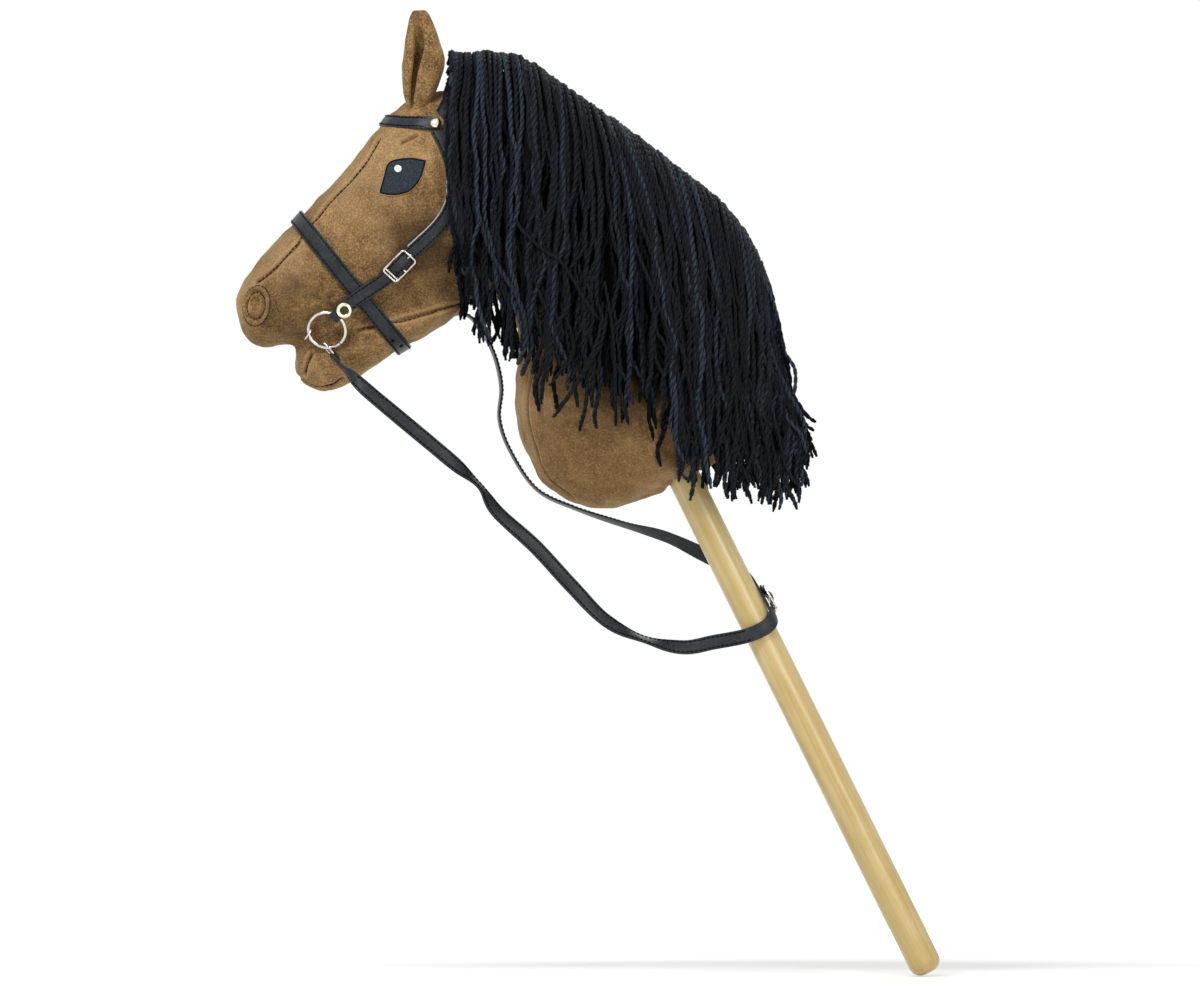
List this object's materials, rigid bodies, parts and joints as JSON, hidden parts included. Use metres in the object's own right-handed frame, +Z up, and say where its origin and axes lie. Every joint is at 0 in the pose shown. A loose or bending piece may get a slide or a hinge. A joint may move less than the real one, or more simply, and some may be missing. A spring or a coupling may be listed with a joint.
{
  "type": "hobby horse",
  "caption": "Stick horse toy: stuffed plush head and neck with ears, yarn mane, strap bridle with bit rings, studs and buckles, and reins buckled round the round wooden stick.",
  "frame": {"origin": "on the stick's axis where the rider's hand holds it, 150 mm along the stick from the neck's gathered hem", "axes": "+Z up as ridden, -X where the horse looks, -Y the near side that shows its whole bridle; the stick leans 26.35 degrees in the XZ plane"},
  "size_m": [0.5621, 0.1616, 0.7721],
  "materials": {
    "wooden_stick": "smooth, clear varnished",
    "brown_plush": "short pile plush over filling",
    "black_yarn": "plied wool-like yarn",
    "black_strap": "satin, stitched edges",
    "black_felt": "matt felt",
    "white_felt": "satin stitch",
    "nickel_steel": "polished nickel plate",
    "pale_brass": "pale polished brass",
    "waxed_twine": "waxed twine"
  },
  "bodies": {
    "horse": {"stick": "wooden_stick", "neck": "brown_plush", "head": "brown_plush", "lower_jaw": "brown_plush", "ear_near": "brown_plush", "ear_far": "brown_plush", "nostril_near": "brown_plush", "nostril_far": "brown_plush", "mane_near": "black_yarn", "mane_far": "black_yarn", "noseband": "black_strap", "throatlatch": "black_strap", "crown_strap": "black_strap", "browband": "black_strap", "cheek_strap_near": "black_strap", "cheek_strap_far": "black_strap", "rein_end_near": "black_strap", "rein_end_far": "black_strap", "rein_near": "black_strap", "rein_far": "black_strap", "eye_near": "black_felt", "eye_far": "black_felt", "eye_light_near": "white_felt", "eye_light_far": "white_felt", "cheek_buckle_near": "nickel_steel", "cheek_buckle_far": "nickel_steel", "rein_link_near": "nickel_steel", "rein_link_far": "nickel_steel", "bit_mouthpiece": "nickel_steel", "rein_buckle": "nickel_steel", "browband_stud_near": "pale_brass", "browband_stud_far": "pale_brass", "cheek_rivet_near": "pale_brass", "cheek_rivet_far": "pale_brass", "hem_tie": "waxed_twine"},
    "near_ring": {"bit_ring_near": "nickel_steel"},
    "far_ring": {"bit_ring_far": "nickel_steel"},
    "near_cheek_prong": {"cheek_prong_near": "nickel_steel"},
    "far_cheek_prong": {"cheek_prong_far": "nickel_steel"},
    "rein_buckle_prong": {"rein_prong": "nickel_steel"}
  },
  "joints": [
    {"name": "bit_ring_spin_near", "type": "hinge", "parent": "horse", "child": "near_ring", "pos_m": [-0.35395, -0.03522, 0.25644], "axis": [0.1143, 0.9256, 0.3608], "continuous": true},
    {"name": "bit_ring_spin_far", "type": "hinge", "parent": "horse", "child": "far_ring", "pos_m": [-0.35395, 0.03522, 0.25644], "axis": [0.1143, -0.9256, 0.3609], "continuous": true},
    {"name": "cheek_prong_lift_near", "type": "hinge", "parent": "horse", "child": "near_cheek_prong", "pos_m": [-0.28766, -0.05382, 0.31565], "axis": [-0.7177, -0.2219, 0.6601], "range_deg": [0, 110]},
    {"name": "cheek_prong_lift_far", "type": "hinge", "parent": "horse", "child": "far_cheek_prong", "pos_m": [-0.28766, 0.05382, 0.31565], "axis": [0.7177, -0.2219, -0.6601], "range_deg": [0, 110]},
    {"name": "rein_prong_lift", "type": "hinge", "parent": "horse", "child": "rein_buckle_prong", "pos_m": [0.00419, -0.00156, 0.03424], "axis": [0.0745, 0.8975, -0.4347], "range_deg": [0, 110]}
  ]
}
